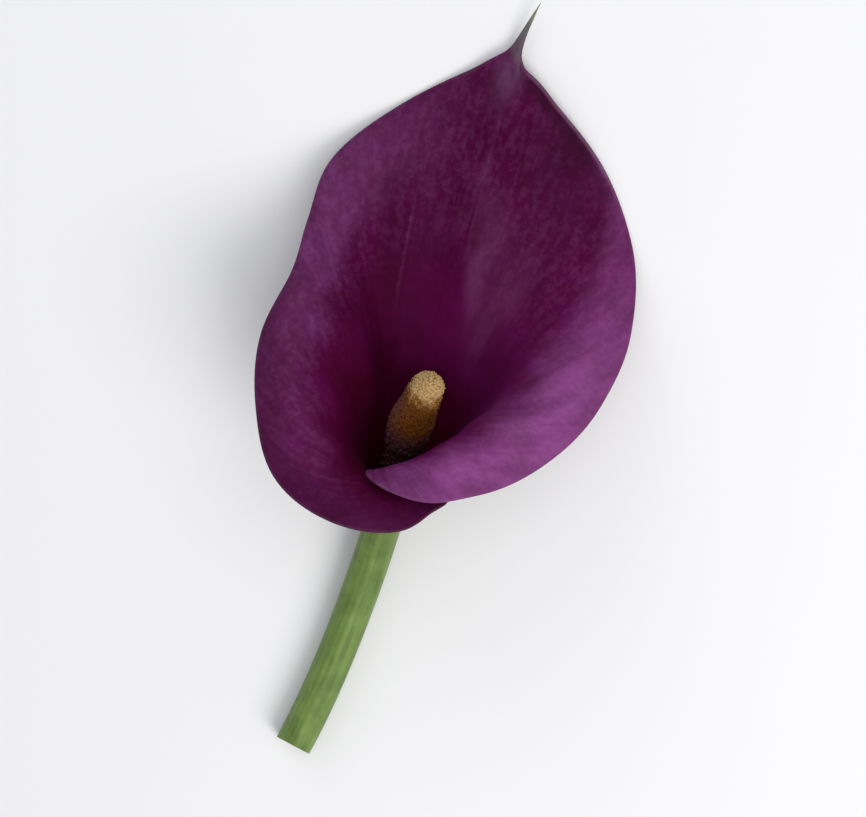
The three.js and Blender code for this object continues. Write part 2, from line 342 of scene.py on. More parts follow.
def thicken(sheet, wall):
    """Gives a sheet its wall, as thick as told for each vertex, half of it to either side."""
    thickest = float(wall.max())
    group = sheet.vertex_groups.new(name="wall")
    for index, share in enumerate(wall / thickest):
        group.add([index], float(share), "REPLACE")
    solid = sheet.modifiers.new("Wall", "SOLIDIFY")
    solid.thickness, solid.offset = thickest * MM, 0
    solid.vertex_group = group.name
    bpy.context.view_layer.objects.active = sheet
    bpy.ops.object.modifier_apply(modifier=solid.name)
    sheet.vertex_groups.clear()


def add_sheet(name, columns, rows):
    """A flat grid to be shaped, and each vertex's column and row in it."""
    deselect_all()
    bpy.ops.mesh.primitive_grid_add(x_subdivisions=columns, y_subdivisions=rows, size=1)
    sheet = added(name)
    flat = points_of(sheet)
    column = np.round((flat[:, 0] + 0.5) * columns).astype(int)
    row = np.round((flat[:, 1] + 0.5) * rows).astype(int)
    return sheet, column, row


def finish_piece(obj, node, material):
    """The piece stands for its CAD node, rides with it, and has its smooth shading and material."""
    select_only(obj)
    bpy.ops.object.shade_smooth()
    obj.data.materials.clear()
    obj.data.materials.append(material)
    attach(obj, "root")
    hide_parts(node)


# ---- spathe ----


def rim_at(place):
    """The rim's values at places between its stations, on an even Catmull-Rom curve."""
    rows = np.vstack([2 * RIM[0] - RIM[1], RIM, 2 * RIM[-1] - RIM[-2]])
    k = np.clip(np.floor(place), 0, len(RIM) - 2).astype(int)
    t = (place - k)[..., None]
    a, b, c, d = (rows[k + i] for i in range(4))
    square, cubic = 2 * a - 5 * b + 4 * c - d, 3 * b - a - 3 * c + d
    return b + 0.5 * t * (c - a + t * (square + t * cubic))


def tail_share(around, along):
    """How far the tail pulls a point out, from 0 on the limb to 1 at its very end."""
    aside = around - RIM[TIP_STATION][0]
    from_tip = np.sqrt(aside**2 + 0.01) - 0.1  # rounded off at the tip itself
    thread, root = np.where(aside < 0, *TAIL_THREAD), np.where(aside < 0, *TAIL_SPREAD)
    share = TAIL_THREAD_SHARE * np.exp(-from_tip / thread)
    share = share + (1 - TAIL_THREAD_SHARE) * np.exp(-from_tip / root)
    return share * np.exp(-(1 - along) / TAIL_DEPTH)


def wall_point(place, along):
    """Points of the middle of the spathe's wall. Each vein is a curve from the foot to the rim."""
    rim = np.moveaxis(rim_at(place), -1, 0)
    around, radius, height, slope, rim_pull, foot_pull, foot_around = rim
    right_of_tip = np.maximum(around - RIM[TIP_STATION][0], 0) / TIP_TRIM_AT
    trim = TIP_TRIM * right_of_tip * np.exp(1 - right_of_tip)
    radius, height = radius - TIP_TRIM_WAY[0] * trim, height - TIP_TRIM_WAY[1] * trim
    overlap = smoothstep(np.abs(foot_around), *OVERLAP)
    lift = OUTER_FLAP_LIFT * (1 - CORNER_TUCK * np.exp(-place / 0.7))
    foot_radius = TUBE_FOOT_RADIUS + overlap * np.where(foot_around > 0, -INNER_FLAP_TUCK, lift)
    length = np.hypot(radius - foot_radius, height)
    start, end = math.radians(TUBE_FOOT_SLOPE), np.radians(slope)
    distances = (
        foot_radius,
        foot_radius + math.sin(start) * foot_pull * length,
        radius - np.sin(end) * rim_pull * length,
        radius,
    )
    heights = (
        0 * height,
        math.cos(start) * foot_pull * length,
        height - np.cos(end) * rim_pull * length,
        height,
    )
    distance, up = bezier(distances, along), bezier(heights, along)
    turn = np.radians(foot_around + (around - foot_around) * along)
    wall = np.stack([distance * np.sin(turn), distance * np.cos(turn), up], -1)
    tail = tail_share(around, along)[..., None]
    return wall + tail * np.array(TAIL_ROOT) + tail**2 * np.array(TAIL_END)


def wall_normal(place, along):
    """The direction out of the wall, away from the axis."""
    step, last = 1e-3, len(RIM) - 1
    right, left = np.minimum(place + step, last), np.maximum(place - step, 0)
    higher, lower = np.minimum(along + step, 1), np.maximum(along - step, 0)
    across = wall_point(right, along) - wall_point(left, along)
    up = wall_point(place, higher) - wall_point(place, lower)
    return -unit(np.cross(across, up))


def spread(count, low, high, closeness):
    """Places from low to high, closer together where closeness(place) is larger."""
    fine = np.linspace(low, high, 4001)
    passed = running_total(closeness((fine[1:] + fine[:-1]) / 2))
    return np.interp(np.linspace(0, passed[-1], count + 1), passed, fine)


def tip_closeness(place):
    """Columns of the spathe's grid stand ten times as close at the tip."""
    return 1 / (1 - 0.9 * np.exp(-np.abs(place - TIP_STATION) / 0.7))


def at_places(table, place):
    """The values of a table's other columns at places along the rim."""
    return [np.interp(place, table[:, 0], values) for values in table.T[1:]]


def spathe_shades(place, along, middle, from_rim, from_foot, tail):
    """How strong each colour of the spathe is at points of its wall, and its painted light, sheen,
    highlight and shading.
    """
    # Colour zones keep their distance from the rim, with soft uneven borders.
    amount, bloom_full, bloom_gone, wine_from, wine_full = at_places(COLOUR_ZONES, place)
    border = soft_noise(middle.reshape(-1, 3), 7, seed=8).reshape(place.shape)
    inwards = from_rim + 2.2 * border * smoothstep(from_rim, 1, 8)
    haze_start = 13.2 + 1.8 * smoothstep(from_rim, 34, 54)
    haze = smoothstep(place + 0.25 * border - haze_start, 0, 1.1) * fade(place, 15.6, 16.8)
    left_haze = np.exp(-(((place - 12.6) / 0.8) ** 2)) * window(from_rim, *LEFT_HAZE_FROM_RIM)
    flush, reach = at_places(FOLD_FLUSH, place)
    flush = flush * fade(inwards - bloom_gone, -0.3 * reach, reach)
    # Painted shade on the inner face next to the margin.
    shade, reach = at_places(PAINTED_EDGE_SHADE, place)
    shade = shade * fade(from_rim, 0.4 * reach, reach)
    # A painted highlight beside the root of the tail.
    from_patch = (middle - np.array(TIP_PATCH)) / TIP_PATCH_SIZE
    patch = np.exp(-0.5 * np.sum(from_patch**2, -1)) * fade(tail, 0.05, 0.3)

    # Painted light: the wall is brightened low on the funnel's back, where light comes through it.
    painted_glow = 0.3 * window(place, *GLOW_PLACES) * window(from_foot, *GLOW_FROM_FOOT)

    # Off the limb the crease is far away.
    crease_side = np.interp(middle[..., 2], CREASE[:, 0], CREASE[:, 1])
    on_limb = (middle[..., 1] > 0) & (middle[..., 2] > CREASE[0, 0] - 1)

    # The tail's grey runs a little way down into the limb, mostly right of the midline.
    aside = rim_at(place)[..., 0] - RIM[TIP_STATION][0]
    spine = np.exp(-(((aside - 0.45) / 0.75) ** 2)) * fade((1 - along) * 95, 0.5, 4.2)
    return {
        # The lilac bloom is partly the lip's own colour and partly painted sheen and light.
        "bloom": amount * fade(inwards, bloom_full, bloom_gone),
        "wine": smoothstep(inwards, wine_from, wine_full),
        "haze": haze * window(from_rim, *HAZE_FROM_RIM) + 0.12 * left_haze,
        # The flush also carries the painted light low on the back.
        "flush": np.maximum(flush, painted_glow),
        "shade": shade,
        "off_crease": np.where(on_limb, middle[..., 0] - crease_side, 9),
        "patch": patch,
        "grey": np.maximum(smoothstep(tail, 0.14, 0.36), 0.85 * spine),
    }


def build_spathe(look):
    columns, rows = 300, 104
    spathe, column, row = add_sheet("spathe_skin", columns, rows)
    places = spread(columns, 0, len(RIM) - 1, tip_closeness)
    alongs = 1 - (1 - np.arange(rows + 1) / rows) ** 1.6

    place, along = np.meshgrid(places, alongs)
    middle, outward = wall_point(place, along), wall_normal(place, along)
    from_foot = running_total(np.linalg.norm(np.diff(middle, axis=0), axis=-1), axis=0)
    from_rim = from_foot[-1] - from_foot
    from_left = running_total(np.linalg.norm(np.diff(middle, axis=1), axis=-1), axis=1)
    from_side = np.minimum(from_left, from_left[:, -1:] - from_left)
    around, foot_around = rim_at(place)[..., 0], rim_at(place)[..., 6]
    tail = tail_share(around, along)
    limb = fade(tail, 0.02, 0.2)

    # Veins leave the foot side by side and bend towards the tip on their way to the rim.
    vein = (place - TIP_STATION) / (1 - 0.3 * along**2)
    numbers = spathe_shades(place, along, middle, from_rim, from_foot, tail)
    numbers.update(rim=from_rim, tail=tail, along=along, base=from_foot)

    # The wall has soft dents, low ridges on the veins, and a margin that curls back.
    flat = middle.reshape(-1, 3)
    free = fade(np.abs(foot_around), 95, 140)
    dents = soft_noise(flat, 17, seed=1) + 0.45 * soft_noise(flat, 8, seed=2)
    dents = dents.reshape(place.shape) * smoothstep(along, 0.25, 0.6) * (1 - along**5) * free
    ridges = np.sin(vein * 9.2 + 1.7 * soft_noise(flat, 30, seed=3).reshape(place.shape))
    ridges = ridges * smoothstep(along, 0.05, 0.3) * (1 - along**4) * free
    curl = np.clip(1 - from_rim / 2.2, 0, 1) ** 2 * (0.4 + 0.6 * free)
    curl = curl * (1 - 3.2 * window(place - TIP_STATION, -2.2, -0.5, 1.5, 3.4))
    lift = look.dents * dents + look.ridges * ridges + look.curl * curl
    middle = middle + outward * (lift * limb)[..., None]

    def each(values):
        return values[row, column]

    move_points(spathe, lay(each(middle)))
    put_uv(spathe, "veins", each(vein), each(from_foot) / 10)
    put_attributes(spathe, {name: each(values) for name, values in numbers.items()})

    # The wall thins towards the rim, and its edge is rounded.
    edge = np.minimum(from_rim, from_side + 0.15)
    roundness = np.sqrt(1 - (1 - np.clip(edge / look.edge_round, 0, 1)) ** 2)
    wall = look.wall_foot + (look.wall_rim - look.wall_foot) * smoothstep(along, 0, 0.8)
    tail_wall = look.tail_wall * (1 - 0.45 * smoothstep(tail, 0.3, 1))
    wall = wall + (tail_wall - wall) * smoothstep(tail, 0.02, 0.2)
    count = len(spathe.data.vertices)
    thicken(spathe, each(wall * (0.22 + 0.78 * roundness)))

    # Thickening leaves the sheet's own vertices first and its copy of them after.
    out = each(outward) @ np.array(LYING.to_3x3()).T
    points = points_of(spathe)
    facing = np.sum((points[:count] - points[count:]) * out, -1)
    outer = np.concatenate([facing > 0, facing <= 0])
    put_attributes(spathe, {"outside": outer})

    # On the outer face the veins stand out, most of all on the tube.
    ribs = np.sin(each(vein) * 13 + 1.2 * soft_noise(each(middle), 25, seed=4)) ** 3
    ribs = ribs * window(each(along), 0.02, 0.12, 0.6, 0.95) * each(limb)
    both = np.concatenate([ribs, ribs])[:, None] * np.concatenate([out, out]) * outer[:, None]
    move_points(spathe, points + both * look.ribs * MM)
    finish_piece(spathe, "spathe", spathe_material(look))


# ---- spadix ----


def club_radius(height):
    """The club's radius at heights, without its florets."""
    above = np.searchsorted(SPADIX_PROFILE[:, 0], height, side="right")
    above = np.clip(above, 1, len(SPADIX_PROFILE) - 1)
    low, high = SPADIX_PROFILE[above - 1], SPADIX_PROFILE[above]
    share = smoothstep(height, low[..., 0], high[..., 0])
    radius = low[..., 1] + (high[..., 1] - low[..., 1]) * share
    into_tip = np.clip((height - SPADIX_HEIGHT + SPADIX_TIP_ROUND) / SPADIX_TIP_ROUND, 0, 1)
    return np.where(into_tip > 0, SPADIX_PROFILE[-1, 1], radius) * np.sqrt(1 - into_tip**2)


def on_club(height, turn, radius):
    """Points round the club's leaning middle line."""
    lean = SPADIX_LEAN[0] + (SPADIX_LEAN[1] - SPADIX_LEAN[0]) * (height / SPADIX_HEIGHT) ** 2
    return np.stack([lean + radius * np.cos(turn), radius * np.sin(turn), height], -1)


def club_places(spacing, low, high, jitter, random):
    """Places for florets, each with about spacing squared of room, in spirals round the club."""
    heights = np.linspace(low, high, 4001)
    radius = club_radius(heights)
    path = np.hypot(np.diff(heights), np.diff(radius))
    area = running_total(path * math.pi * (radius[1:] + radius[:-1]))
    count = int(area[-1] / spacing**2)
    height = np.interp((np.arange(count) + 0.5) / count * area[-1], area, heights)
    turn = np.arange(count) * math.pi * (3 - math.sqrt(5))
    height = np.clip(height + random.uniform(-jitter, jitter, count), 0, SPADIX_HEIGHT - 1e-3)
    turn = turn + random.uniform(-jitter, jitter, count) / np.maximum(club_radius(height), 0.6)
    return height, turn


def club_frames(height, turn):
    """Where a floret stands, and its three directions: round the club, up it and out of it."""
    step = 1e-3
    rise = club_radius(np.minimum(height + step, SPADIX_HEIGHT)) - club_radius(height - step)
    slope = np.clip(rise / (2 * step), -30, 30)
    cos, sin = np.cos(turn), np.sin(turn)
    out = unit(np.stack([cos, sin, -slope], -1))
    side = np.stack([-sin, cos, 0 * sin], -1)
    frames = np.stack([side, np.cross(out, side), out], 1)
    return on_club(height, turn, club_radius(height)), frames


def model_of(obj):
    """A small model's points and faces, taken out of the scene."""
    points = points_of(obj)
    faces = [tuple(p.vertices) for p in obj.data.polygons]
    mesh = obj.data
    bpy.data.objects.remove(obj)
    bpy.data.meshes.remove(mesh)
    return points, faces


def male_floret():
    """Two anthers side by side with a groove between them, one unit wide, on the plane z = 0."""
    deselect_all()
    bpy.ops.mesh.primitive_grid_add(x_subdivisions=4, y_subdivisions=2, size=1)
    floret = added("male_floret")
    bpy.ops.object.mode_set(mode="EDIT")
    bpy.ops.mesh.select_all(action="SELECT")
    bpy.ops.mesh.extrude_region_move(TRANSFORM_OT_translate={"value": (0, 0, 0.7)})
    bpy.ops.object.mode_set(mode="OBJECT")
    points = points_of(floret)
    top = points[:, 2] > 0.4
    x, y = points[:, 0], points[:, 1]
    dome = 0.42 * (1 - (2.1 * (np.abs(x) - 0.27)) ** 2) - 0.9 * y**2 - 0.12 * (np.abs(x) < 0.05)
    points[:, 2] += np.where(top, dome - 0.06, 0)
    corner = np.where(np.abs(x * y) > 0.2, 0.8, 0.92)
    points[:, :2] *= (corner * np.where(top, 1, 0.96))[:, None]
    return finish_model(floret, points)


def finish_model(floret, points):
    move_points(floret, points)
    face_outwards()
    return model_of(floret)


def female_floret():
    """A round ovary with its stigma on a short neck, one unit wide."""
    deselect_all()
    bpy.ops.mesh.primitive_uv_sphere_add(segments=10, ring_count=8, radius=0.5)
    floret = added("female_floret")
    points = points_of(floret)
    height = points[:, 2].copy()
    neck, button, dimple = (np.isclose(height, ring, atol=0.02) for ring in (0.354, 0.462, 0.5))
    points[neck, :2] *= 0.5
    points[button, :2] *= 1.2
    points[:, 2] = height * 0.86 + 0.1 * neck + 0.16 * button + 0.1 * dimple
    return finish_model(floret, points)


def pollen_grain():
    deselect_all()
    bpy.ops.mesh.primitive_ico_sphere_add(subdivisions=1, radius=0.5)
    return model_of(added("pollen_grain"))


def copies(model, spots, frames, sizes, turns):
    """Each copy of a model at its spot: their points and faces, and how high each point was."""
    points, faces = model
    cos, sin = np.cos(turns)[:, None], np.sin(turns)[:, None]
    x, y, z = (np.repeat(points[None, :, i], len(spots), 0) for i in range(3))
    spun = np.stack([x * cos - y * sin, x * sin + y * cos, z], -1)
    placed = np.einsum("nvk,nkj->nvj", spun * sizes[:, None, :], frames) + spots[:, None, :]
    offsets = (np.arange(len(spots)) * len(points)).tolist()
    all_faces = [tuple(i + offset for i in face) for offset in offsets for face in faces]
    return placed.reshape(-1, 3), all_faces, z.ravel()


def add_copies(name, placed, heights, turns, kind, tints):
    """A new object from copies, with its numbers for the material."""
    points, faces, rise = placed
    mesh = bpy.data.meshes.new(name)
    mesh.from_pydata(lay(points).tolist(), [], faces)
    obj = add_object(name, mesh)
    each = {"height": heights, "shed": shed_share(turns), "tint": tints, "kind": 0 * heights + kind}
    size = len(points) // len(heights)
    put_attributes(obj, {key: np.repeat(values, size) for key, values in each.items()})
    put_attributes(obj, {"rise": rise})
    return obj


def shed_share(turn):
    """How strongly that side of the club shows a painted reflection of the purple spathe, 0 to 1.
    """
    away = [((np.degrees(turn) - side + 180) % 360 - 180) / width for side, width in REFLECTION_SIDES]
    return np.clip(sum(np.exp(-(share**2)) for share in away), 0, 1)


def build_spadix(look):
    random = np.random.default_rng(7)
    deselect_all()
    bpy.ops.mesh.primitive_uv_sphere_add(segments=72, ring_count=60, radius=1)
    core = added("spadix_club")
    ball = points_of(core)
    turn = np.arctan2(ball[:, 1], ball[:, 0])
    share = 1 - np.arccos(np.clip(ball[:, 2], -1, 1)) / math.pi
    height = SPADIX_HEIGHT * np.clip((share - 0.05) / 0.95, 0, 1)
    height = np.where(share > 0.999, SPADIX_HEIGHT, height)
    sunk = 0.14 - 0.24 * smoothstep(height, 28, 33)
    radius = club_radius(height) - sunk * smoothstep(club_radius(height), 0.3, 1.5)
    move_points(core, lay(on_club(height, turn, radius * np.clip(share / 0.05, 0, 1))))
    none = 0 * height
    numbers = {"height": height, "shed": shed_share(turn), "rise": none, "tint": none + 0.5}
    put_attributes(core, {**numbers, "kind": none})
    parts = [core]

    def add_florets(name, model, kind, spacing, zone, jitter, sizes):
        heights, turns = club_places(spacing, *zone, jitter, random)
        spots, frames = club_frames(heights, turns)
        count = len(heights)
        scale = np.array(sizes) * random.uniform(0.84, 1.16, (count, 1))
        scale = scale * random.uniform(0.9, 1.1, (count, 3))
        proud = 0.5
        if kind == MALE:
            scale = scale * (1 + 0.4 * smoothstep(-heights, -30, -22))[:, None]
            calm = 1 - 0.5 * smoothstep(heights, 31, 35)[:, None]
            proud = 0.52 + calm * random.uniform(-0.26, 0.26, (count, 1))
            tilt = random.normal(0, 0.2, (count, 2, 1))
            frames[:, :2] = frames[:, :2] - tilt * frames[:, 2:]
            frames[:, 2] = unit(np.cross(frames[:, 0], frames[:, 1]))
        spots = spots - frames[:, 2] * (scale[:, 2:] * (1 - proud))
        points, faces, rise = copies(model, spots, frames, scale, random.uniform(-3.1, 3.1, count))
        placed = points, faces, np.clip(rise, 0, 1)
        tints = random.uniform(0, 1, count)
        parts.append(add_copies(name, placed, heights, turns, kind, tints))

    males = (FEMALE_ZONE - 0.3, SPADIX_HEIGHT - 0.02)
    anther, ovary = look.anther, look.ovary
    sizes = (anther * 1.3, anther * 1.16, 0.66)
    add_florets("anthers", male_floret(), MALE, anther, males, 0.08, sizes)
    females = (3.6, FEMALE_ZONE - 0.4)
    sizes = (ovary * 1.06, ovary * 1.06, 1.5)
    add_florets("ovaries", female_floret(), FEMALE, ovary, females, 0.16, sizes)

    # Loose pollen lies on the anthers.
    zone = (FEMALE_ZONE + 2, SPADIX_HEIGHT - 0.01)
    heights, turns = club_places(look.pollen_spacing, *zone, 0.3, random)
    spots, frames = club_frames(heights, turns)
    count = len(heights)
    spots = spots + frames[:, 2] * random.uniform(0.05, 0.55, (count, 1))
    sizes = np.repeat(random.uniform(0.12, 0.3, (count, 1)), 3, 1)
    spins = random.uniform(-3, 3, count)
    points, faces, rise = copies(pollen_grain(), spots, frames, sizes, spins)
    placed = points, faces, np.ones_like(rise)
    tints = random.uniform(0.3, 1, count)
    parts.append(add_copies("pollen", placed, heights, turns, POLLEN, tints))

    select_only(core)
    for part in parts:
        part.select_set(True)
    bpy.ops.object.join()
    clear_uvs(core)
    finish_piece(core, "spadix", spadix_material(look))


# ---- stem ----


def stem_line():
    """The stalk's middle line, from just under the spathe's foot to the cut, in the row frame."""
    foot = np.array(FLOWER_FOOT)
    axis = np.array(LYING.to_3x3())[:, 2]
    start = foot - STEM_DROP * axis
    pulls = (
        start,
        start - axis * (start[2] - STEM_RADIUS) / axis[2],
        np.array([foot[0], foot[1] - STEM_LENGTH * STEM_BEND, STEM_RADIUS]),
        np.array([foot[0] + STEM_SIDEWAYS, foot[1] - STEM_LENGTH, STEM_RADIUS]),
    )
    return bezier(pulls, np.linspace(0, 1, 2001)[:, None]), axis


def foot_radius_at(direction, closeness):
    """The distance of the spathe's outer face from its axis at its foot, in degrees from the back.

    At closeness 1 it follows the step at the outer flap's free edge, and at 0 it eases over it.
    """
    left = smoothstep(-direction, *OVERLAP)
    limits = [wide + (close - wide) * closeness for wide, close in zip(FLAP_EDGE, FLAP_STEP)]
    return TUBE_FOOT_RADIUS + OUTER_FLAP_LIFT * np.maximum(left, smoothstep(direction, *limits))


def build_stem(look):
    sides, body_rows = 120, 116
    line, axis = stem_line()
    passed = running_total(np.linalg.norm(np.diff(line, axis=0), axis=1))
    total = passed[-1]

    # Rings of points: up over the shoulder from inside the spathe, along the stalk, and over the
    # cut to its middle. How far from the top each one is, and its share of the radius.
    shoulder = INSIDE_RINGS + SEAM_RINGS
    first, seams, top_rings = len(INSIDE_RINGS), len(SEAM_RINGS), len(shoulder)
    body = np.linspace(0.9, total, body_rows)
    cut_rings = np.full(len(CUT_RINGS), total)
    from_top = np.concatenate([[-STEM_DROP - rise for rise, _ in shoulder], body, cut_rings])
    over_cut = np.concatenate([np.ones(top_rings + body_rows), CUT_RINGS])
    stem, column, row = add_sheet("stem_skin", sides, len(from_top) - 1)

    along_line = np.clip(from_top, 0, total)
    middle = np.stack([np.interp(along_line, passed, line[:, i]) for i in range(3)], -1)
    middle = middle - axis * np.minimum(from_top, 0)[:, None]
    onward = [np.interp(along_line, passed, np.gradient(line[:, i])) for i in range(3)]
    onward = unit(np.stack(onward, -1))
    up = unit(np.cross(onward, (1, 0, 0)))
    across = unit(np.cross(up, onward))
    slant = math.tan(math.radians(CUT_SLANT)) * smoothstep(from_top / total, CUT_FROM, 1)

    # From here on there is a value for each vertex.
    middle, onward, up, across = middle[row], onward[row], up[row], across[row]
    from_top, over_cut, slant = from_top[row], over_cut[row], slant[row]
    turn = column / sides * 2 * math.pi
    cos, sin = np.cos(turn), np.sin(turn)

    # The stalk widens to the spathe's foot and its skin runs up on to the tube, so no seam shows.
    outward = (across * cos[:, None] + up * sin[:, None]) @ np.array(LYING.to_3x3())
    direction = np.degrees(np.arctan2(outward[:, 0], outward[:, 1]))
    closeness = np.interp(from_top, (-2.5, -1.1), (1, 0))
    foot = foot_radius_at(direction, closeness) + 0.5 * look.foot_wall
    widening = math.tan(math.radians(TUBE_FOOT_SLOPE))
    onto_tube = np.array([rise * widening + proud for rise, proud in SEAM_RINGS])
    last_seam = -STEM_DROP - SEAM_RINGS[-1][0]
    below = foot - STEM_RADIUS + onto_tube[-1] + last_seam * widening
    radius = STEM_RADIUS + below * np.clip(1 - from_top * widening / (2 * below), 0, 1) ** 2
    on_seam = foot + onto_tube[np.clip(row - first, 0, seams - 1)]
    radius = np.where(row < top_rings, on_seam, radius)
    inner = np.array([ring for _, ring in INSIDE_RINGS])
    radius = np.where(row < first, inner[np.clip(row, 0, first - 1)], radius)
    radius = radius * over_cut

    # The skin swells unevenly and has low ribs, but lies flat on the surface.
    skin = (over_cut == 1) & (row >= top_rings)
    swell = soft_noise(np.stack([cos * 4, sin * 4, from_top], -1) * (1, 1, 0.35), 6, seed=5) * 0.09
    ribs = 0.5 * np.cos(turn * 17 + 0.9 * np.sin(turn * 3)) + 0.5 * np.cos(turn * 11 + 1)
    ribs = ribs * smoothstep(from_top, 0.5, 6) * smoothstep(total - from_top, 0, 3)
    lying = smoothstep(-sin, 0.3, 0.9) * smoothstep(from_top, total * 0.4, total * 0.6)
    relief = (swell * look.swell + ribs * look.fluting) * (1 - lying)
    radius = radius + np.where(skin, relief, 0)
    points = middle + across * (cos * radius)[:, None] + up * (sin * radius)[:, None]
    points = points - onward * (sin * radius * slant)[:, None]

    # The cut face: its rind stands a little proud and the soft middle has sunk.
    sunk = np.where(over_cut < 1, 0.28 * smoothstep(1 - over_cut, 0.02, 0.25), 0)
    grain = soft_noise(points, 0.8, seed=6) * 0.07 * (over_cut < 0.95)
    edge = np.where(np.isclose(over_cut, CUT_RINGS[0]), 0.06, 0)
    points = points + onward * (edge + grain - sunk)[:, None]

    move_points(stem, points * MM)
    put_uv(stem, "skin", turn / (2 * math.pi), from_top / 10)
    numbers = {"from_top": from_top, "cut": over_cut < 1, "core": over_cut, "inside": row < first}
    put_attributes(stem, numbers)
    select_only(stem)
    face_outwards(merge_within=1e-6)
    finish_piece(stem, "stem", stem_material(look))


# ---- materials ----

# The numbers that go into the shared node groups, in order, and those that come out. For streaks
# the first two are how fine they are across the veins and the others how fine along them.
GROUP_SOCKETS = {
    "Plant Cells": (["Cells per Metre"], ["Height", "Sparkle", "Tone"]),
    "Length Streaks": (
        ["Broad", "Fine", "Broad Stretch", "Fine Stretch"],
        ["Broad", "Fine", "Hairs"],
    ),
    "Soft Mottle": (["Clouds per Metre"], ["Clouds", "Flecks"]),
}


class Tree:
    """Adds nodes to a node tree. An input that is a socket is linked, and any other one is set."""

    def __init__(self, tree):
        self.tree = tree

    def fill(self, node, inputs):
        for key, value in inputs.items():
            if isinstance(value, bpy.types.NodeSocket):
                self.tree.links.new(value, node.inputs[key])
            else:
                node.inputs[key].default_value = value

    def node(self, kind, inputs, **settings):
        made = self.tree.nodes.new("ShaderNode" + kind)
        for name, value in settings.items():
            setattr(made, name, value)
        self.fill(made, inputs)
        return made

    def math(self, operation, a, b=0.0):
        return self.node("Math", {0: a, 1: b}, operation=operation).outputs[0]

    def times(self, first, *others):
        for other in others:
            first = self.math("MULTIPLY", first, other)
        return first

    def plus(self, first, *others):
        for other in others:
            first = self.math("ADD", first, other)
        return first

    def minus(self, a, b):
        return self.math("SUBTRACT", a, b)

    def mix(self, share, a, b, blend="MIX"):
        made = self.node("Mix", {0: share, 6: a, 7: b}, data_type="RGBA", blend_type=blend)
        return made.outputs[2]

    def layers(self, colour, *layers):
        """A colour with others laid over it in turn, each by its share."""
        for share, over in layers:
            colour = self.mix(share, colour, over)
        return colour

    def adjust(self, colour, value, hue=0.5):
        inputs = {"Color": colour, "Hue": hue, "Value": value}
        return self.node("HueSaturation", inputs).outputs[0]

    def ease(self, value, low, high, to_low=0.0, to_high=1.0):
        limits = {"From Min": low, "From Max": high, "To Min": to_low, "To Max": to_high}
        inputs = {"Value": value, **limits}
        return self.node("MapRange", inputs, interpolation_type="SMOOTHSTEP").outputs["Result"]

    def fade(self, value, low, high):
        return self.ease(value, low, high, 1.0, 0.0)

    def window(self, value, low, full, still_full, gone):
        """From 0 up to 1 between the first two limits, and down again between the last two."""
        return self.times(self.ease(value, low, full), self.fade(value, still_full, gone))

    def noise(self, vector, scale, detail=2.0, roughness=0.5, distortion=0.0):
        inputs = {"Vector": vector, "Scale": scale, "Detail": detail, "Roughness": roughness}
        return self.node("TexNoise", {**inputs, "Distortion": distortion}).outputs["Fac"]

    def cells(self, vector, scale, randomness):
        inputs = {"Vector": vector, "Scale": scale, "Randomness": randomness}
        return self.node("TexVoronoi", inputs, feature="F1").outputs

    def bump(self, height, strength, distance):
        inputs = {"Strength": strength, "Distance": distance, "Height": height}
        return self.node("Bump", inputs).outputs["Normal"]

    def attributes(self, *names):
        made = [self.node("Attribute", {}, attribute_name=name) for name in names]
        return [node.outputs["Fac"] for node in made]

    def shared(self, make, vector, *numbers):
        """The outputs of a node group that the materials share, made by make the first time."""
        made = self.tree.nodes.new("ShaderNodeGroup")
        name = make.__name__.replace("_", " ").title()
        made.node_tree = bpy.data.node_groups.get(name) or new_group(name, make)
        self.fill(made, {"Vector": vector, **dict(zip(GROUP_SOCKETS[name][0], numbers))})
        return made.outputs


def new_group(name, make):
    """A node group that takes a vector and numbers, filled by make."""
    inputs, outputs = GROUP_SOCKETS[name]
    tree = bpy.data.node_groups.new(name, "ShaderNodeTree")
    tree.interface.new_socket("Vector", in_out="INPUT", socket_type="NodeSocketVector")
    for key in inputs:
        tree.interface.new_socket(key, in_out="INPUT", socket_type="NodeSocketFloat")
    for key in outputs:
        tree.interface.new_socket(key, in_out="OUTPUT", socket_type="NodeSocketFloat")
    start, end = tree.nodes.new("NodeGroupInput"), tree.nodes.new("NodeGroupOutput")
    t = Tree(tree)
    t.fill(end, make(t, start.outputs))
    return tree


def plant_cells(t, given):
    """The skin's fine grain of swollen cells, and which of them get painted glints."""
    scale = given["Cells per Metre"]
    cells = t.cells(given["Vector"], scale, 1.0)
    height = t.fade(cells["Distance"], 0.0, 0.75)
    grain = t.noise(given["Vector"], t.times(scale, 0.45), 3.0, 0.65)
    bright = t.node("SeparateColor", {"Color": cells["Color"]}).outputs[0]
    sparkle = t.times(t.ease(bright, 0.72, 1.0), t.ease(grain, 0.5, 0.68), height)
    return {"Height": t.times(height, 0.55), "Sparkle": sparkle, "Tone": grain}


def length_streaks(t, given):
    """Streaks or dabs that run with the veins, broad soft ones and fine ones, and hairlines."""
    parts = t.node("SeparateXYZ", {"Vector": given["Vector"]}).outputs
    wander = t.noise(given["Vector"], 0.6, 1.0)
    across = t.plus(parts["X"], t.times(wander, 0.35))
    results = {}
    for key, detail in (("Broad", 3.0), ("Fine", 2.0)):
        long = t.times(parts["Y"], given[key + " Stretch"])
        at = t.node("CombineXYZ", {"X": t.times(across, given[key]), "Y": long, "Z": parts["Z"]})
        results[key] = t.ease(t.noise(at.outputs[0], 1.0, detail, 0.55), 0.25, 0.75)

    # Hair-thin lines, where a noise crosses its middle value, broken up by another one.
    at = t.node("CombineXYZ", {"X": t.times(across, 3.5), "Y": t.times(parts["Y"], 0.35), "Z": 4.0})
    off_middle = t.math("ABSOLUTE", t.minus(t.noise(at.outputs[0], 1.0, 1.0), 0.5))
    broken = t.ease(t.noise(given["Vector"], 3.2, 3.0, 0.6), 0.54, 0.62)
    results["Hairs"] = t.times(t.fade(off_middle, 0.0, 0.016), broken)
    return results


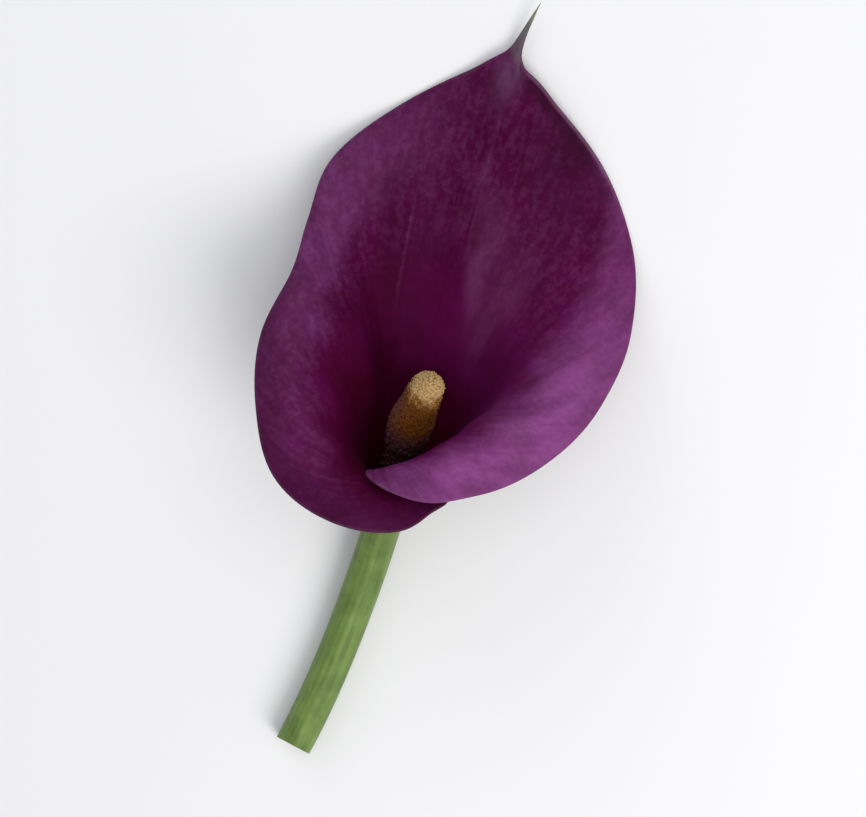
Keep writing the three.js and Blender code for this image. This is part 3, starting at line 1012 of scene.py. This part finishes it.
def soft_mottle(t, given):
    """Uneven pigment in clouds and flecks."""
    scale = given["Clouds per Metre"]
    clouds = t.noise(given["Vector"], scale, 3.0, 0.55, 0.3)
    flecks = t.noise(given["Vector"], t.times(scale, 6.0), 3.0, 0.6)
    return {"Clouds": t.ease(clouds, 0.32, 0.68), "Flecks": t.ease(flecks, 0.25, 0.75)}


def new_material(name):
    material = bpy.data.materials.new(name)
    material.use_nodes = True
    shader = material.node_tree.nodes["Principled BSDF"]
    return material, Tree(material.node_tree), shader


def spathe_material(look):
    material, t, shader = new_material("Spathe skin")
    place = t.node("TexCoord", {}).outputs["Object"]
    veins = t.node("UVMap", {}, uv_map="veins").outputs["UV"]
    across = t.node("SeparateXYZ", {"Vector": veins}).outputs["X"]
    outside, rim, tail, along, base = t.attributes("outside", "rim", "tail", "along", "base")
    bloom, wine, haze, flush, shade = t.attributes("bloom", "wine", "haze", "flush", "shade")
    off_crease, patch, grey = t.attributes("off_crease", "patch", "grey")
    cells = t.shared(plant_cells, place, 3200.0)
    mottle = t.shared(soft_mottle, place, 130.0)
    clouds, flecks = mottle["Clouds"], mottle["Flecks"]
    dabs = t.shared(length_streaks, veins, 1.4, 5.0, 0.7, 1.7)
    streaks = t.shared(length_streaks, veins, 1.6, 7.0, 0.38, 0.5)
    limb = t.ease(along, 0.42, 0.8)

    # Fine pale dabs and hairlines lie on the limb, fewer far out on its left.
    dabbed = t.plus(t.times(dabs["Fine"], 0.5), t.times(flecks, 0.5))
    dusted = t.plus(t.times(t.minus(1.0, t.times(wine, 0.8)), 0.08), t.times(bloom, 0.1))
    dusted = t.times(t.ease(dabbed, 0.3, 0.85), dusted, t.ease(across, -12.5, -9.5, 0.3, 1.0))
    hairs = t.times(dabs["Hairs"], t.plus(0.08, t.times(haze, 0.16)), limb)

    # The crease is a thin line that wanders a little.
    wander = t.times(t.minus(flecks, 0.5), 0.4)
    crease = t.fade(t.math("ABSOLUTE", t.plus(off_crease, wander)), 0.05, 0.55)
    crease = t.times(crease, t.window(rim, 20.0, 25.0, 32.0, 40.0))
    crease = t.times(crease, t.ease(flecks, 0.2, 0.8, 0.08, 0.18))

    # Inner face: almost black in the throat, wine red up the limb, a magenta flush in the fold that
    # also carries painted light low on the back, a lilac bloom where it rolls outwards that is
    # partly painted sheen and light, and painted shade next to the margin.
    haze = t.times(t.ease(dabs["Broad"], 0.1, 0.9, 0.35, 1.0), t.times(haze, 0.34))
    inside = t.layers(
        look.limb,
        (wine, look.wine),
        (t.fade(base, 8.0, 34.0), look.throat),
        # magenta flush, with the painted light low on the back
        (t.times(flush, t.ease(dabs["Broad"], 0.0, 1.0, 0.42, 0.62)), look.flush),
        (haze, look.streak),
        # lilac bloom, partly painted sheen and light
        (t.times(bloom, t.ease(dabs["Broad"], 0.0, 1.0, 0.84, 1.08)), look.lip),
        (t.times(dusted, limb), look.dust),
        (hairs, look.lip),
        # painted shade next to the margin
        (shade, look.fold),
        (crease, look.lip),
    )

    # Outer face: green at the foot like the stalk, running up between purple veins, and purple
    # above and at the edge.
    off_joint = t.ease(base, 1.0, 10.0)
    ragged = t.plus(t.times(streaks["Fine"], 0.28), t.times(streaks["Broad"], 0.3))
    ragged = t.times(t.minus(ragged, 0.29), off_joint)
    near_edge = t.times(t.ease(rim, 0.4, 5.0, 0.8, 0.0), t.ease(base, 1.5, 5.0))
    reach = t.plus(t.math("DIVIDE", base, 32.0), ragged, near_edge)
    outer = t.layers(
        look.foot_green,
        (t.ease(reach, 0.12, 1.0), look.back),
        (t.times(streaks["Fine"], 0.4, off_joint), look.back_vein),
    )

    # The margin is thin and paler, and right of the tip paler still with a painted highlight on its
    # rolled edge, inside which a painted shadow of the rolled margin lies in the fold. A painted
    # highlight lies beside the root of the tail. The tail is grey-green.
    right_of_tip = t.window(across, 0.15, 0.6, 2.6, 3.8)
    edge = t.plus(0.16, t.times(right_of_tip, 0.4))
    colour = t.layers(
        t.mix(outside, inside, outer),
        # painted shadow inside the rolled margin right of the tip
        (t.times(t.window(rim, 0.6, 1.2, 2.0, 4.2), right_of_tip, 0.6), look.fold),
        # paler margin, with a painted highlight on the rolled edge right of the tip
        (t.times(t.fade(rim, 0.2, 0.8), edge), look.margin),
        # painted highlight beside the tail's root
        (t.times(patch, 0.7), look.tip_spot),
        (grey, look.tail_root),
        (t.ease(tail, 0.4, 0.66), look.tail_thread),
        (t.ease(tail, 0.66, 0.9), look.tail_end),
    )

    # Uneven pigment, and painted glints on cells that catch the light.
    uneven = t.plus(t.times(clouds, 0.18), t.times(flecks, 0.12))
    uneven = t.plus(uneven, t.times(dabs["Broad"], limb, 0.22))
    value = t.plus(uneven, t.minus(0.8, t.times(limb, 0.04)))
    colour = t.adjust(colour, value, t.ease(clouds, 0.0, 1.0, 0.507, 0.495))
    # Painted glints on cells that catch the light, added to the colour.
    painted_glints = t.times(cells["Sparkle"], t.ease(clouds, 0.3, 1.0, 0.02, 0.16), limb)
    relief = t.plus(t.times(cells["Height"], 0.5), t.times(streaks["Fine"], 0.5))
    t.fill(shader, {
        "Base Color": t.mix(painted_glints, colour, look.sparkle, "ADD"),
        "Roughness": t.plus(0.5, t.times(flecks, 0.12)),
        "Normal": t.bump(relief, 0.3, 0.00006),
        "Sheen Weight": look.sheen,
        "Sheen Roughness": 0.45,
        "Sheen Tint": (0.72, 0.45, 0.9, 1),
        "Specular IOR Level": 0.02,
    })
    return material


def spadix_material(look):
    material, t, shader = new_material("Spadix florets")
    place = t.node("TexCoord", {}).outputs["Object"]
    height, rise, tint, kind, shed = t.attributes("height", "rise", "tint", "kind", "shed")
    cells = t.shared(plant_cells, place, 5200.0)
    mottle = t.shared(soft_mottle, place, 260.0)
    cream_from, full_cream = CREAM_FROM
    uneven = t.minus(t.plus(mottle["Clouds"], t.times(tint, 0.6)), 0.8)
    level = t.plus(height, t.times(uneven, 2.2))
    above_females = t.plus(height, uneven)

    # Cream at the tip, partly painted light where the tip is lit, and ochre below, with a painted
    # reflection of the purple spathe in mauve on the sides. Low down the anthers turn to the
    # ovaries' mauve, as the ovaries are at the foot.
    anthers = t.layers(
        look.ochre,
        (t.ease(level, cream_from - 3, cream_from + 1), look.honey),
        # cream at the tip, partly painted light where the tip is lit
        (t.ease(level, cream_from, full_cream), look.cream),
        # painted reflection of the purple spathe on the club's sides
        (t.times(shed, t.fade(level, 27.0, full_cream), 0.9), look.mauve),
        (t.ease(above_females, FEMALE_ZONE + 3, FEMALE_ZONE + 9, 0.95, 0.0), look.ovary_colour),
    )

    # Pollen and the crowns of the florets are paler than the gaps between them, where shade is
    # painted on, and the club itself between them gets it too.
    stigma = t.times(t.window(kind, 1.6, 1.9, 2.1, 2.4), t.ease(rise, 0.44, 0.5))
    dusted = t.plus(t.times(t.ease(kind, 2.5, 2.9), 0.45), t.times(tint, 0.3))
    dusted = t.times(dusted, t.ease(level, cream_from - 2, full_cream, 0.07, 1.0))
    gap_shade = t.mix(t.ease(height, 24.0, full_cream), look.crevice, look.cream_shade)
    colour = t.layers(
        look.ovary_colour,
        (t.ease(height, FEMALE_ZONE - 0.5, FEMALE_ZONE), anthers),
        (stigma, look.stigma),
        (dusted, look.pollen),
        # painted shade low on the florets and between them
        (t.ease(rise, 0.2, 0.8, 0.8, 0.0), gap_shade),
    )
    t.fill(shader, {
        "Base Color": t.adjust(colour, t.plus(t.times(mottle["Flecks"], 0.3), 0.85)),
        "Roughness": t.plus(0.7, t.times(cells["Tone"], 0.2)),
        "Normal": t.bump(cells["Height"], 0.5, 0.00008),
        "Specular IOR Level": 0.04,
    })
    return material


def stem_material(look):
    material, t, shader = new_material("Stalk skin")
    place = t.node("TexCoord", {}).outputs["Object"]
    skin = t.node("UVMap", {}, uv_map="skin").outputs["UV"]
    around = t.node("Mapping", {"Vector": skin, "Scale": (14, 1, 1)}).outputs[0]
    from_top, cut, core, inside = t.attributes("from_top", "cut", "core", "inside")
    streaks = t.shared(length_streaks, around, 1.0, 5.0, 0.35, 0.78)
    mottle = t.shared(soft_mottle, place, 130.0)
    clouds, flecks = mottle["Clouds"], mottle["Flecks"]
    cells = t.shared(plant_cells, place, 4200.0)

    # Green streaks, flushed a little under the flower.
    flush = t.times(t.fade(from_top, 6.0, 22.0), t.times(streaks["Fine"], 0.3))
    colour = t.layers(
        look.stem_dark,
        (streaks["Broad"], look.stem_light),
        (t.times(streaks["Fine"], 0.35), look.stem_dark),
        (t.times(clouds, 0.25), look.stem_light),
        (flush, look.stem_flush),
        (t.fade(from_top, -1.0, 12.0), look.joint),
    )
    uneven = t.plus(t.times(clouds, 0.18), t.times(flecks, 0.12))
    colour = t.adjust(colour, t.plus(uneven, 0.8))

    # The cut face: a green rind round pale soft flesh with the ends of its vessels.
    vessels = t.fade(t.cells(place, 950.0, 0.85)["Distance"], 0.12, 0.3)
    flesh = t.mix(t.times(vessels, 0.7), look.flesh, look.vessel)
    flesh = t.mix(t.ease(core, 0.86, 0.97), flesh, look.stem_dark)

    relief = t.plus(t.times(streaks["Fine"], 0.6), t.times(cells["Height"], 0.3))
    rough = t.plus(t.ease(from_top, -1.0, 12.0, 0.62, 0.38), t.times(flecks, 0.16))
    t.fill(shader, {
        "Base Color": t.layers(colour, (cut, flesh), (inside, look.inside)),
        "Roughness": t.math("MAXIMUM", rough, inside),
        "Normal": t.bump(relief, 0.4, 0.00008),
        "Specular IOR Level": 0.25,
    })
    return material


# ---- stage ----


def view_axes(view_tilt, view_roll):
    """The camera's right, up and back in the flower's frame: tilted to the front, then rolled."""
    tilt, roll = math.radians(view_tilt), math.radians(view_roll)
    rise, lean = math.cos(tilt), math.sin(tilt)
    cos, sin = math.cos(roll), math.sin(roll)
    right, up = Vector((cos, sin * rise, sin * lean)), Vector((-sin, cos * rise, cos * lean))
    return right, up, Vector((0, -lean, rise))


def add_softbox(name, direction, size, power, colour):
    light = bpy.data.lights.new(name, "AREA")
    light.shape, light.size = "DISK", size
    light.energy, light.color = power, colour
    lamp = add_object(name, light)
    lamp.location = BLOOM_MIDDLE + Vector(direction).normalized() * SOFTBOX_DISTANCE
    lamp.rotation_euler = (BLOOM_MIDDLE - lamp.location).to_track_quat("-Z", "Y").to_euler()


def add_camera(look):
    camera = bpy.data.cameras.new("camera")
    camera.sensor_width, camera.lens = 36, look.lens
    camera.clip_start, camera.clip_end = 0.01, 50
    viewer = add_object("camera", camera)
    right, up, back = view_axes(look.view_tilt, look.view_roll)
    eye = LYING @ (right * VIEW_SHIFT[0] + up * VIEW_SHIFT[1] + back * VIEW_DISTANCE)
    turn = LYING.to_3x3() @ Matrix((right, up, back)).transposed()
    viewer.matrix_world = Matrix.Translation(eye * MM) @ turn.to_4x4()
    bpy.context.scene.camera = viewer


def build_stage(look):
    deselect_all()
    bpy.ops.mesh.primitive_plane_add(size=6, location=(0, 0, -0.00005))
    floor = added("floor")
    material, t, shader = new_material("Pale floor")
    clouds = t.noise(t.node("TexCoord", {}).outputs["Object"], 9.0, 3.0, 0.5)
    t.fill(shader, {
        "Base Color": t.mix(t.times(clouds, 0.5), look.floor, look.floor_shade),
        "Roughness": 0.85,
        "Specular IOR Level": 0.2,
    })
    floor.data.materials.append(material)

    world = bpy.data.worlds.new("Studio")
    world.use_nodes = True
    background = world.node_tree.nodes["Background"]
    background.inputs["Color"].default_value = ROOM_LIGHT
    background.inputs["Strength"].default_value = look.sky
    bpy.context.scene.world = world

    for name, (direction, size, tone) in SOFTBOXES.items():
        add_softbox(name + "_softbox", direction, size, getattr(look, name), tone)

    add_camera(look)
    bpy.context.scene.view_settings.view_transform = "Standard"


# ---- the add-on ----


def swatch(name, description, r, g, b):
    limits = {"subtype": "COLOR", "size": 4, "min": 0, "max": 1}
    return bpy.props.FloatVectorProperty(
        name=name, description=description, default=(r, g, b, 1), **limits
    )


def number(name, description, value, **limits):
    return bpy.props.FloatProperty(name=name, description=description, default=value, **limits)


def measure(name, description, value):
    return number(name, description + ", in millimetres", value, min=0)


class CallaSpatheSettings(bpy.types.PropertyGroup):
    """Sizes and colours of the spathe."""

    wall_foot: measure("Wall at the foot", "Thickness of the spathe where it leaves the stalk", 1.0)
    wall_rim: measure("Wall at the rim", "Thickness of the spathe near its rim", 0.78)
    tail_wall: measure("Tail", "Thickness of the tail at its root", 0.62)
    edge_round: measure("Edge rounding", "Width over which the edge thins to its rounded end", 0.5)
    dents: measure("Dents", "Height of the soft dents in the wall", 0.5)
    ridges: measure("Ridges", "Height of the low ridges on the veins", 0.03)
    curl: measure("Curl", "How far the margin curls back", 0.35)
    ribs: measure("Ribs", "Height of the veins on the outer face", 0.07)
    sheen: number("Sheen", "Weight of the velvety bloom", 0.008, min=0, max=1)
    throat: swatch("Throat", "Inner face at the bottom of the tube", 0.062, 0.0004, 0.013)
    wine: swatch("Wine", "Inner face half way up", 0.052, 0.0004, 0.021)
    limb: swatch("Limb", "Inner face near the rim", 0.058, 0.0011, 0.031)
    dust: swatch("Dust", "Fine pale dabs on the inner face", 0.26, 0.095, 0.24)
    # Pale lilac, partly the lip's own colour and partly painted sheen and light.
    lip: swatch("Lip", "Inner face where it rolls outwards", 0.215, 0.054, 0.195)
    flush: swatch("Flush", "Inner face in the fold inside the lip", 0.15, 0.006, 0.10)
    streak: swatch("Streaks", "Paler streaks along the veins", 0.15, 0.045, 0.12)
    back: swatch("Outer face", "Outer face above the foot", 0.16, 0.038, 0.115)
    back_vein: swatch("Outer veins", "Veins of the outer face", 0.090, 0.018, 0.055)
    foot_green: swatch("Foot", "Outer face where it leaves the stalk", *JOINT_GREEN)
    # Painted shade next to the margin, and painted shadow in the rolled margin right of the tip.
    fold: swatch("Fold", "Shaded fold inside the margin right of the tip", 0.030, 0.004, 0.018)
    margin: swatch("Margin", "Thin edge of the spathe", 0.17, 0.09, 0.15)
    # Colour of the painted highlight beside the tail's root.
    tip_spot: swatch("Tip", "Paler spot where the veins meet under the tail", 0.125, 0.046, 0.118)
    tail_root: swatch("Tail root", "Where the veins meet in the tail", 0.10, 0.066, 0.092)
    tail_thread: swatch("Tail", "Thin part of the tail", 0.115, 0.112, 0.108)
    tail_end: swatch("Tail end", "Very end of the tail", 0.19, 0.205, 0.115)
    # Colour of the painted glints.
    sparkle: swatch("Sparkle", "Cells that catch the light", 0.40, 0.15, 0.40)


class CallaSpadixSettings(bpy.types.PropertyGroup):
    """Sizes and colours of the spadix."""

    anther: measure("Anther spacing", "Room for each male floret", 0.6)
    ovary: measure("Ovary spacing", "Room for each female floret", 1.7)
    pollen_spacing: measure("Pollen spacing", "Distance between loose grains of pollen", 0.5)
    # Partly the anthers' own cream and partly painted light on the lit tip.
    cream: swatch("Cream", "Anthers at the tip", 0.46, 0.29, 0.13)
    # Painted shade between the florets at the tip.
    cream_shade: swatch("Cream shade", "Between the florets at the tip", 0.40, 0.24, 0.10)
    honey: swatch("Honey", "Anthers under the cream ones", 0.25, 0.11, 0.02)
    ochre: swatch("Ochre", "Anthers half way down", 0.145, 0.041, 0.0035)
    ovary_colour: swatch("Ovaries", "Female florets", 0.062, 0.016, 0.028)
    # Mauve of the painted reflection of the purple spathe on the club's sides.
    mauve: swatch("Mauve", "Anthers that have shed their pollen", 0.135, 0.044, 0.04)
    stigma: swatch("Stigmas", "Tips of the female florets", 0.08, 0.028, 0.038)
    pollen: swatch("Pollen", "Loose pollen", 0.60, 0.43, 0.20)
    # Painted shade between the florets below the tip.
    crevice: swatch("Crevices", "Between the florets", 0.046, 0.013, 0.008)


class CallaStemSettings(bpy.types.PropertyGroup):
    """Sizes and colours of the stalk."""

    swell: number("Swelling", "Strength of the stalk's uneven swelling", 1, min=0)
    foot_wall: measure("Foot wall", "Thickness of the spathe where the stalk meets it", 1.0)
    fluting: measure("Fluting", "Height of the low ribs along the stalk", 0.05)
    stem_light: swatch("Light green", "Paler green of the stalk", 0.20, 0.30, 0.075)
    stem_dark: swatch("Dark green", "Darker green of the stalk", 0.095, 0.17, 0.035)
    stem_flush: swatch("Flush", "Faint streaks under the flower", 0.13, 0.10, 0.045)
    joint: swatch("Joint", "Stalk where it runs on into the spathe", *JOINT_GREEN)
    inside: swatch("Inside", "Stalk's top inside the tube", 0.03, 0.001, 0.007)
    flesh: swatch("Flesh", "Soft inside of the stalk at its cut", 0.55, 0.62, 0.36)
    vessel: swatch("Vessels", "Ends of the vessels in the cut", 0.30, 0.38, 0.16)


class CallaStageSettings(bpy.types.PropertyGroup):
    """Floor, lights and camera."""

    floor: swatch("Floor", "Pale floor", 0.86, 0.86, 0.865)
    floor_shade: swatch("Floor shade", "Slightly darker parts of the floor", 0.83, 0.83, 0.84)
    sky: number("Room light", "Strength of the even light", 0.45, min=0)
    key: number("Key light", "Power of the softbox at the right", 4.6, min=0, unit="POWER")
    top: number("Top light", "Power of the softbox overhead", 2.2, min=0, unit="POWER")
    side: number("Side light", "Power of the softbox at the left", 1.3, min=0, unit="POWER")
    lens: number("Lens", "Focal length", 123.67, min=1, unit="CAMERA")
    view_tilt: number("View tilt", "Degrees between the view and the flower's axis", 40)
    view_roll: number("View roll", "Degrees by which the flower leans in the picture", 17)


class CALLA_OT_spathe(bpy.types.Operator):
    """Add the spathe: one leaf rolled into a funnel, with its tail"""

    bl_idname = "calla.spathe"
    bl_label = "Add Spathe"

    def execute(self, context):
        build_spathe(context.scene.calla_spathe)
        return {"FINISHED"}


class CALLA_OT_spadix(bpy.types.Operator):
    """Add the spadix: the club with its male and female florets and loose pollen"""

    bl_idname = "calla.spadix"
    bl_label = "Add Spadix"

    def execute(self, context):
        build_spadix(context.scene.calla_spadix)
        return {"FINISHED"}


class CALLA_OT_stem(bpy.types.Operator):
    """Add the stalk with its cut end"""

    bl_idname = "calla.stem"
    bl_label = "Add Stalk"

    def execute(self, context):
        build_stem(context.scene.calla_stem)
        return {"FINISHED"}


class CALLA_OT_stage(bpy.types.Operator):
    """Add the pale floor, the soft lights and the camera"""

    bl_idname = "calla.stage"
    bl_label = "Set Stage"

    def execute(self, context):
        build_stage(context.scene.calla_stage)
        return {"FINISHED"}


class CALLA_PT_panel(bpy.types.Panel):
    """Lists the flower's pieces and the stage"""

    bl_label = "Calla Lily Flower"
    bl_idname = "CALLA_PT_panel"
    bl_space_type = "VIEW_3D"
    bl_region_type = "UI"
    bl_category = "Calla Lily"

    def draw(self, context):
        for operator, settings in PARTS:
            box = self.layout.box()
            box.operator(operator.bl_idname)
            for key in settings.__annotations__:
                box.prop(getattr(context.scene, settings_name(operator)), key)


PARTS = (
    (CALLA_OT_spathe, CallaSpatheSettings),
    (CALLA_OT_spadix, CallaSpadixSettings),
    (CALLA_OT_stem, CallaStemSettings),
    (CALLA_OT_stage, CallaStageSettings),
)


def settings_name(operator):
    """The scene's name for the settings of the piece that an operator builds."""
    return operator.bl_idname.replace(".", "_")


def register():
    for operator, settings in PARTS:
        bpy.utils.register_class(settings)
        bpy.utils.register_class(operator)
        pointer = bpy.props.PointerProperty(type=settings)
        setattr(bpy.types.Scene, settings_name(operator), pointer)
    bpy.utils.register_class(CALLA_PT_panel)


def unregister():
    bpy.utils.unregister_class(CALLA_PT_panel)
    for operator, settings in reversed(PARTS):
        delattr(bpy.types.Scene, settings_name(operator))
        bpy.utils.unregister_class(operator)
        bpy.utils.unregister_class(settings)


def main():
    register()
    bpy.ops.calla.spathe()
    bpy.ops.calla.spadix()
    bpy.ops.calla.stem()
    bpy.ops.calla.stage()


if __name__ == "__main__":
    main()
